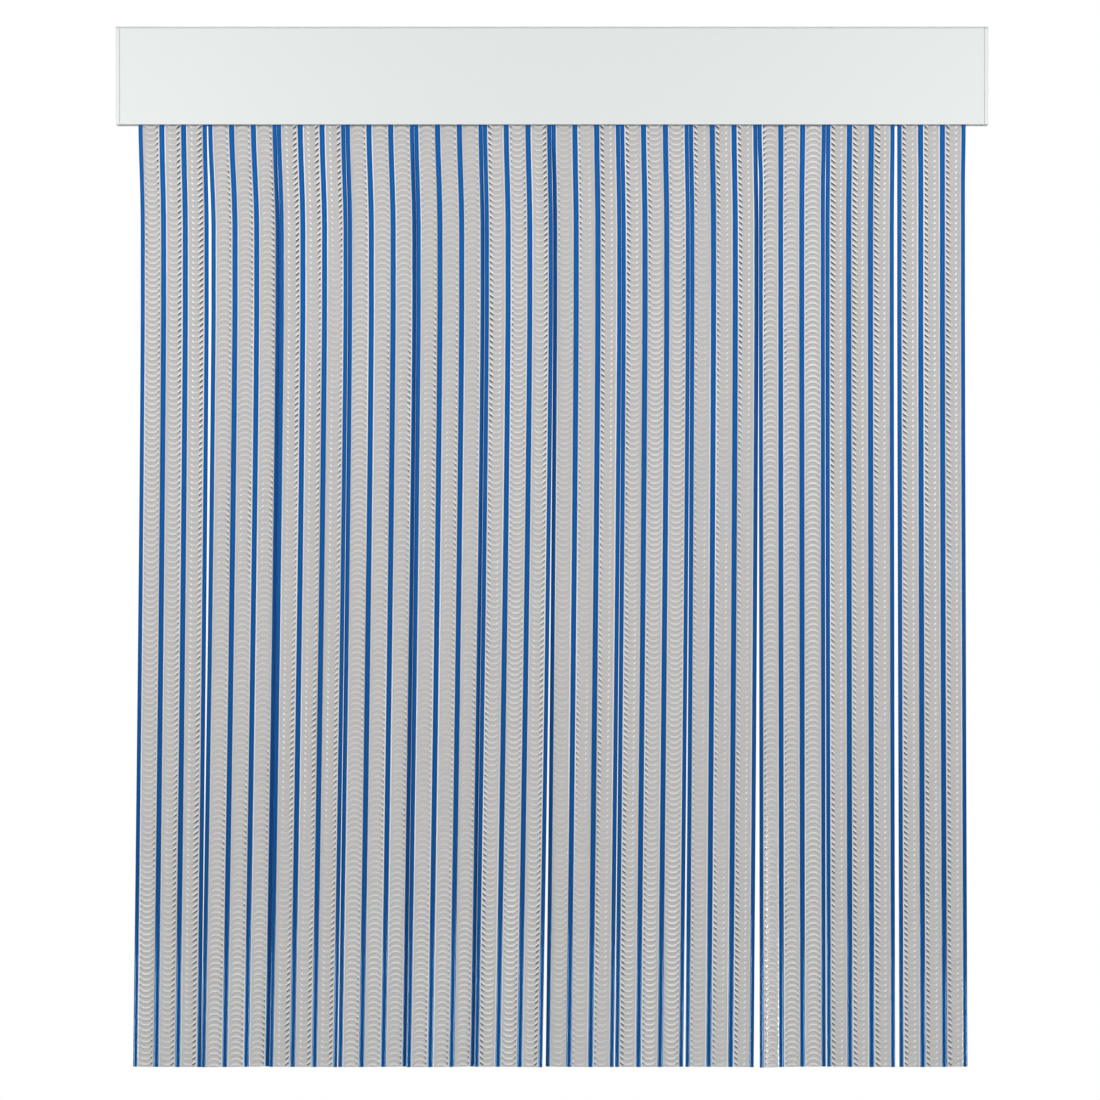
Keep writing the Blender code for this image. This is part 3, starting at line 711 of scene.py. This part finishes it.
def lean_at(tree, given, place):
    """How far the ribbon leans at a place: left is negative, right is positive."""
    share = calc(tree, "MULTIPLY_ADD", place[0], 1 / WIDTH, 0.5)
    more = calc(tree, "SUBTRACT", given["Lean Right"], given["Lean Left"])
    steady = calc(tree, "MULTIPLY_ADD", more, share, given["Lean Left"])
    slow = calc(tree, "SUBTRACT", noise_at(tree, place, given["Seed"], WANDER_STEPS), NOISE_MIDDLE)
    return calc(tree, "MULTIPLY_ADD", slow, WANDER, steady)


print("the lean wanders by up to", WANDER / 2, "either way")

# %% [markdown]
# ## Dark strokes of painted shade
#
# A wing on the side that the ribbon leans to is painted dark, as painted shade where it would bend
# the light away: at its tip first, then along its length, and last at its corner. Each of these has
# its own slope and start, which turn the lean into a darkness. Halfway down the curtain the strokes
# are calmer than at the header and at the foot.

# %% Strokes
STROKE_RAMPS = {CORNER: (1.5, -1.20), WING: (1.8, -0.45), TIP: (1.6, 0.25)}
STROKE = 1.35
STROKE_HALFWAY = 0.5


def strokes(tree, towards, parts, wobble, down):
    """How dark the painted shade of a stroke is on each face, from 0 to 1."""
    stroke = 0.0
    for part, (slope, start) in STROKE_RAMPS.items():
        stroke = calc(tree, "MULTIPLY_ADD", parts[part], ramp(tree, towards, slope, start), stroke)
    from_halfway = calc(tree, "ABSOLUTE", calc(tree, "SUBTRACT", down, 0.5))
    calm = calc(tree, "MULTIPLY_ADD", from_halfway, 2 * (1 - STROKE_HALFWAY), STROKE_HALFWAY)
    return clamped(tree, chain(tree, "MULTIPLY", stroke, wobble, STROKE, calm))


print("strokes are drawn on", len(STROKE_RAMPS), "parts of an element")

# %% [markdown]
# ## Pale rungs of painted highlight
#
# The bar and the corners of an element make a rung, a painted highlight, and the wings continue it
# more faintly. Rungs show where the ribbon hardly leans. Near the foot, where the lamps are low,
# their strength changes to another value.

# %% Rungs
SQUARE_RAMP = (-0.6, 1.0)
WING_IN_RUNG = 0.6
FOOT_STARTS = 0.70
FOOT_FULL = 0.92


def rungs(tree, given, lean, parts, down):
    """How pale the painted highlight of a rung is on each face."""
    square = ramp(tree, calc(tree, "ABSOLUTE", lean), *SQUARE_RAMP)
    span = {"Value": down, "From Min": FOOT_STARTS, "From Max": FOOT_FULL}
    span.update({"To Min": given["Ladder"], "To Max": given["Foot Ladder"]})
    strength = add(tree, "ShaderNodeMapRange", span, interpolation_type="SMOOTHSTEP").outputs[0]
    middle = calc(tree, "ADD", parts[BAR], parts[CORNER])
    rung = calc(tree, "MULTIPLY_ADD", parts[WING], WING_IN_RUNG, middle)
    return chain(tree, "MULTIPLY", rung, square, strength)


print("rungs change between", FOOT_STARTS, "and", FOOT_FULL, "of the way down")

# %% [markdown]
# ## The marks put together
#
# A stroke is painted dark on the flank that looks down, as painted shade, and bright on the crest
# and the flank above it, as a painted highlight. A wing on the far side shows a bright dot of painted
# highlight at its corner. A rung is a pale painted highlight, with a faint painted shade under it. At
# the rims of a band, beside the blue, a broken bright line of painted highlight runs down. The flat
# back counts as bright all over, so that it hardly colours the light that comes through.

# %% The marks group
WOBBLE = (0.8, 0.6)  # how much a quick noise varies the marks, and their least strength
WOBBLE_STEPS = (60.0, 90.0)
EDGE_GLINT = 1.5
DOT_RAMP = (-1.3, -0.1)
PAINTED_SHADE_UNDER_RUNG = 0.22
RIM_STEPS = (45.0, 3.0)
RIM_RAMP = (2, -0.5)
RIM_GLINT = 1.1
MARK_INPUTS = ("Lean Left", "Lean Right", "Ladder", "Foot Ladder", "Seed")


def make_marks():
    """A geometry group: stores on each face how much of a dark painted shade or a bright painted glint it
    has.
    """
    tree, given = geometry_tree("marks", MARK_INPUTS)
    across, _, height = position(tree)
    place = across, height
    down = calc(tree, "DIVIDE", calc(tree, "SUBTRACT", -SHOULDER, height), LENGTH)
    part, row = stored(tree, "part"), stored(tree, "row")
    size = calc(tree, "ABSOLUTE", part)
    parts = {kind: is_kind(tree, size, kind) for kind in (BAR, CORNER, WING, TIP)}
    raised = calc(tree, "ADD", is_kind(tree, row, UPPER), is_kind(tree, row, CREST))
    lean = lean_at(tree, given, place)
    towards = calc(tree, "MULTIPLY", calc(tree, "SIGN", part), lean)
    wobble = calc(tree, "MULTIPLY_ADD", noise_at(tree, place, given["Seed"], WOBBLE_STEPS), *WOBBLE)
    stroke = strokes(tree, towards, parts, wobble, down)
    rung = rungs(tree, given, lean, parts, down)
    dot = chain(tree, "MULTIPLY", parts[CORNER], ramp(tree, towards, *DOT_RAMP), wobble)
    dark = calc(tree, "MAXIMUM", stroke, calc(tree, "MULTIPLY", rung, PAINTED_SHADE_UNDER_RUNG))
    tick = calc(tree, "MULTIPLY", is_kind(tree, row, LOWER), dark)
    bright = chain(tree, "MAXIMUM", calc(tree, "MULTIPLY", stroke, EDGE_GLINT), dot, rung)
    at_rim = calc(tree, "GREATER_THAN", size, TIP + 0.5)
    broken = ramp(tree, noise_at(tree, place, given["Seed"], RIM_STEPS), *RIM_RAMP)
    rim = chain(tree, "MULTIPLY", at_rim, broken, RIM_GLINT)
    on_relief = calc(tree, "MULTIPLY", raised, bright)
    glint = chain(tree, "MAXIMUM", on_relief, rim, is_kind(tree, row, BACK))
    geometry = store(tree, given["Geometry"], "tick", clamped(tree, tick), "FACE")
    geometry = store(tree, geometry, "glint", clamped(tree, glint), "FACE")
    add(tree, "NodeGroupOutput", {0: geometry})
    return tree


marks = make_marks()
print("marks group has", len(marks.nodes), "nodes")

# %% [markdown]
# ## The clear bands
#
# The tiles of a band sit on a line of points, one pitch apart, and the band is placed three
# times across the strip. Merging joins tile to tile, so that each band is one closed skin.

# %% Tree of the clear bands
MERGE = 0.00002
tile_count = math.ceil((LENGTH + 2 * WING_RISE) / PITCH)


def make_clear_tree():
    """Three bands of tiles, marked, and hung as a ribbon hangs."""
    tree, given = ribbon_tree("clear_bands", MARK_INPUTS)
    add_inputs(tree, ["Tile"], "NodeSocketObject")
    tile = add(tree, "GeometryNodeObjectInfo", {"Object": given["Tile"]}).outputs["Geometry"]
    first = (0, 0, WING_RISE - SHOULDER)
    places = {"Count": tile_count, "Start Location": first, "Offset": (0, 0, -PITCH)}
    line = add(tree, "GeometryNodeMeshLine", places).outputs[0]
    band = add(tree, "GeometryNodeInstanceOnPoints", {"Points": line, "Instance": tile}).outputs[0]
    bands = side_by_side(tree, band, 3, BAND + RIB[0])
    real = add(tree, "GeometryNodeRealizeInstances", {"Geometry": bands}).outputs[0]
    merged = add(tree, "GeometryNodeMergeByDistance", {"Geometry": real, "Distance": MERGE}).outputs[0]
    inputs = {"Geometry": merged, **{name: given[name] for name in MARK_INPUTS}}
    marked = add(tree, "GeometryNodeGroup", inputs, node_tree=marks)
    end_tree(tree, given, marked.outputs[0])
    return tree


clear_tree = make_clear_tree()
print("clear tree has", len(clear_tree.nodes), "nodes and sets", tile_count, "tiles to a band")

# %% [markdown]
# ## The loop round the rod
#
# At the top the strip is folded over the rod and welded to itself, inside the header. Seen from
# the side that is a drop with a round hole that narrows downwards, so its two outlines are arcs
# with tangents, and the loop is these outlines drawn out to nearly the strip's width.

# %% The loop
# The inset is how much narrower the loop is than the strip at each edge. The throat, the neck and
# the weld are measured down from the rod's axis: to the hole's point, to where the outside meets
# the flap, and to the flap's end.
LOOP_BORE = 0.0033
LOOP_WALL = 0.0014
LOOP_INSET = 0.006
LOOP_THROAT = 0.0070
LOOP_NECK = 0.0080
WELD = 0.0135
LOOP_STEPS = 24


def drop(radius, tip_y, tip_z):
    """Points (y, z) of an arc round the rod, from where a tangent to the tip leaves it, over the top."""
    reach = math.hypot(tip_y, tip_z)
    start = math.atan2(tip_z, tip_y) + math.acos(radius / reach)
    angles = [start + (math.pi - 2 * start) * step / LOOP_STEPS for step in range(LOOP_STEPS + 1)]
    return [(radius * math.cos(angle), radius * math.sin(angle)) for angle in angles]


def make_loop_mesh():
    """The loop with its flap: two outlines drawn out along the rod, and closed at both ends."""
    outer = drop(LOOP_BORE + LOOP_WALL, LOOP_WALL, -LOOP_NECK)
    outer += [(-LOOP_WALL, -LOOP_NECK), (-LOOP_WALL, -WELD), (LOOP_WALL, -WELD), (LOOP_WALL, -LOOP_NECK)]
    inner = drop(LOOP_BORE, 0, -LOOP_THROAT) + [(0, -LOOP_THROAT)]
    reach = (WIDTH - 2 * LOOP_INSET) / 2
    builder = bmesh.new()
    rims = ([], [])
    for outline in (outer, inner):
        ends = [[builder.verts.new((x, y, z)) for y, z in outline] for x in (-reach, reach)]
        for index in range(len(outline)):
            before = index - 1
            builder.faces.new((ends[0][before], ends[0][index], ends[1][index], ends[1][before]))
            for rim, end in zip(rims, ends):
                rim.append(builder.edges.get((end[before], end[index])))
    for rim in rims:
        bmesh.ops.triangle_fill(builder, edges=rim, use_beauty=True)
    bmesh.ops.recalc_face_normals(builder, faces=builder.faces[:])
    open_edges = sum(1 for edge in builder.edges if not edge.is_manifold)
    mesh = bpy.data.meshes.new("loop")
    builder.to_mesh(mesh)
    builder.free()
    mesh.materials.append(clear_pvc)
    print("loop has", len(mesh.polygons), "faces and", open_edges, "open edges")
    return mesh


loop_mesh = make_loop_mesh()

# %% [markdown]
# ## Twelve ribbons
#
# The ribbons differ only in where they hang, how they turn and which marks they show. Where each
# one hangs is read from the frame: its joint says where it sits on the rod, and its plain solid
# says where its bend and its foot are. How it turns and bows is a share of the most that a ribbon
# does, and how it leans and shows its rungs is a strength. Four of the ribbons were cut from the
# roll the other way up, so their wings point down.

# %% How the ribbons differ
MAX_CUP = 0.0035
MAX_TWIST = math.radians(17)
CUP_SHARES = (0.6, 0.8, -0.5, 0.7, 0.9, -0.6, 0.8, 0.5, -0.7, -1.0, 0.6, 0.9)
MOUTH_TWIST_SHARES = (-0.25, 0.50, -0.30, 0.20, 0.35, -0.30, -0.25, 0.15, -0.30, 0.80, -0.25, 0.35)
FOOT_TWIST_SHARES = (-0.30, 0.55, -0.20, 0.30, 0.55, -0.40, -0.30, 0.15, -0.25, 0.80, -0.25, 0.20)
# The lean and ladder strengths steer only the painted shade and painted highlights of the bands.
MARK_STRENGTHS = {
    "Lean Left": (-0.15, 0.40, 0.65, 0.15, 0.15, -0.85, 0.15, -0.80, -0.30, -0.60, -0.80, -0.90),
    "Lean Right": (1.10, 0.25, 0.60, 0.25, 0.25, 0.85, -0.75, 0.40, -0.80, 0.10, -1.00, -1.05),
    "Ladder": (0.55, 0.40, 0.20, 0.40, 0.25, 0.60, 0.25, 0.60, 0.20, 0.75, 0.20, 0.20),
    "Foot Ladder": (0.95, 0.90, 0.70, 0.85, 0.90, 1.20, 0.60, 1.20, 0.60, 0.90, 0.60, 0.50),
}
CUT_UPSIDE_DOWN = (2, 4, 5, 10)
SEED_STEP = 7.3
RIBBONS = range(1, len(CUP_SHARES) + 1)
print("ribbons", RIBBONS[0], "to", RIBBONS[-1], "with", CUT_UPSIDE_DOWN, "the other way up")

# %% How the ribbons hang
LEVEL_SLACK = 0.0005
joint_of = {joint["child"]: joint for joint in frame["joints"]}


def seen_middle(node, share):
    """The X halfway between a plain ribbon's edges, near a share of the strip's length."""
    level = ROD_Z - SHOULDER - LENGTH * share
    reach = [vertex.co.x for vertex in node.data.vertices if abs(vertex.co.z - level) < LEVEL_SLACK]
    return (min(reach) + max(reach)) / 2


def hanging(number):
    """The values that both trees of a ribbon need."""
    index = number - 1
    body = f"ribbon_{number:02d}"
    rod_x = joint_of[body]["pos_m"][0]
    mouth_twist = MAX_TWIST * MOUTH_TWIST_SHARES[index]
    foot_twist = MAX_TWIST * FOOT_TWIST_SHARES[index]
    cup = MAX_CUP * CUP_SHARES[index]
    edge_bow = cup * (1 - MEAN_BOW)
    bend_twist = mouth_twist + (foot_twist - mouth_twist) * BEND
    bend_x = seen_middle(nodes[body], BEND) + edge_bow * math.sin(bend_twist)
    foot_x = seen_middle(nodes[body], 1) + edge_bow * math.sin(foot_twist)
    return {
        "Sway": bend_x - rod_x,
        "Drift": foot_x - bend_x,
        "Mouth Twist": mouth_twist,
        "Foot Twist": foot_twist,
        "Cup": cup,
        "Place": (rod_x, ROD_Y, ROD_Z),
    }


for name in ("Sway", "Drift"):
    print(name, [round(1000 * hanging(number)[name], 1) for number in RIBBONS], "mm")

# %% [markdown]
# ## From tree to mesh
#
# A modifier with a ribbon's tree grows the strip, and its result is kept as a plain mesh. The
# tiles run a little past both ends, so the bands are cut off level there and the cuts are closed,
# as a knife leaves a real strip. The finished piece then moves with its ribbon's body and takes
# the place of the plain solid.

# %% Grow, trim and finish
SHARP_ANGLE = math.radians(50)


def grown(name, tree, values):
    """A plain mesh object made by a tree with these inputs."""
    item = bpy.data.objects.new(name, bpy.data.meshes.new(name))
    scene.collection.objects.link(item)
    modifier = item.modifiers.new("grow", "NODES")
    modifier.node_group = tree
    for socket in tree.interface.items_tree:
        if socket.in_out == "INPUT" and socket.name in values:
            modifier[socket.identifier] = values[socket.name]
    item.update_tag()
    graph = bpy.context.evaluated_depsgraph_get()
    mesh = bpy.data.meshes.new_from_object(item.evaluated_get(graph))
    item.modifiers.clear()
    item.data = mesh
    mesh.name = name
    return item


def trim(item, top, foot):
    """Cuts the mesh off level at its top and foot, and closes the cuts."""
    builder = bmesh.new()
    builder.from_mesh(item.data)
    for level, side in ((top, 1), (foot, -1)):
        geometry = builder.verts[:] + builder.edges[:] + builder.faces[:]
        cut = {"plane_co": (0, 0, level), "plane_no": (0, 0, side), "clear_outer": True}
        bmesh.ops.bisect_plane(builder, geom=geometry, **cut)
        rim = [edge for edge in builder.edges if edge.is_boundary]
        bmesh.ops.holes_fill(builder, edges=rim, sides=0)
    bmesh.ops.recalc_face_normals(builder, faces=builder.faces[:])
    open_edges = sum(1 for edge in builder.edges if not edge.is_manifold)
    builder.to_mesh(item.data)
    builder.free()
    return open_edges


def finish_piece(item, body):
    """Smooths a piece and gives it to its body."""
    item.data.shade_smooth()
    item.data.set_sharp_from_angle(angle=SHARP_ANGLE)
    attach(item, body)
    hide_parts(body)


print("helpers: grown, trim and finish_piece")

# %% Make the ribbons
for number in RIBBONS:
    body = f"ribbon_{number:02d}"
    values = hanging(number)
    tile = tile_down if number in CUT_UPSIDE_DOWN else tile_up
    look = {name: strengths[number - 1] for name, strengths in MARK_STRENGTHS.items()}
    look.update({"Seed": SEED_STEP * number, "Material": clear_pvc, "Tile": tile})
    clear = grown(body + "_clear", clear_tree, {**values, **look})
    open_edges = trim(clear, ROD_Z - SHOULDER, foot_z)
    blue = grown(body + "_blue", blue_tree, {**values, "Material": blue_pvc})
    loop = bpy.data.objects.new(body + "_loop", loop_mesh.copy())
    scene.collection.objects.link(loop)
    for vertex in loop.data.vertices:
        vertex.co += Vector(values["Place"])
    finish_piece(clear, body)
    finish_piece(blue, body)
    finish_piece(loop, body)
    counts = len(clear.data.polygons), "clear and", len(blue.data.polygons), "blue faces"
    print(body, "has", *counts, "and", open_edges, "open edges")
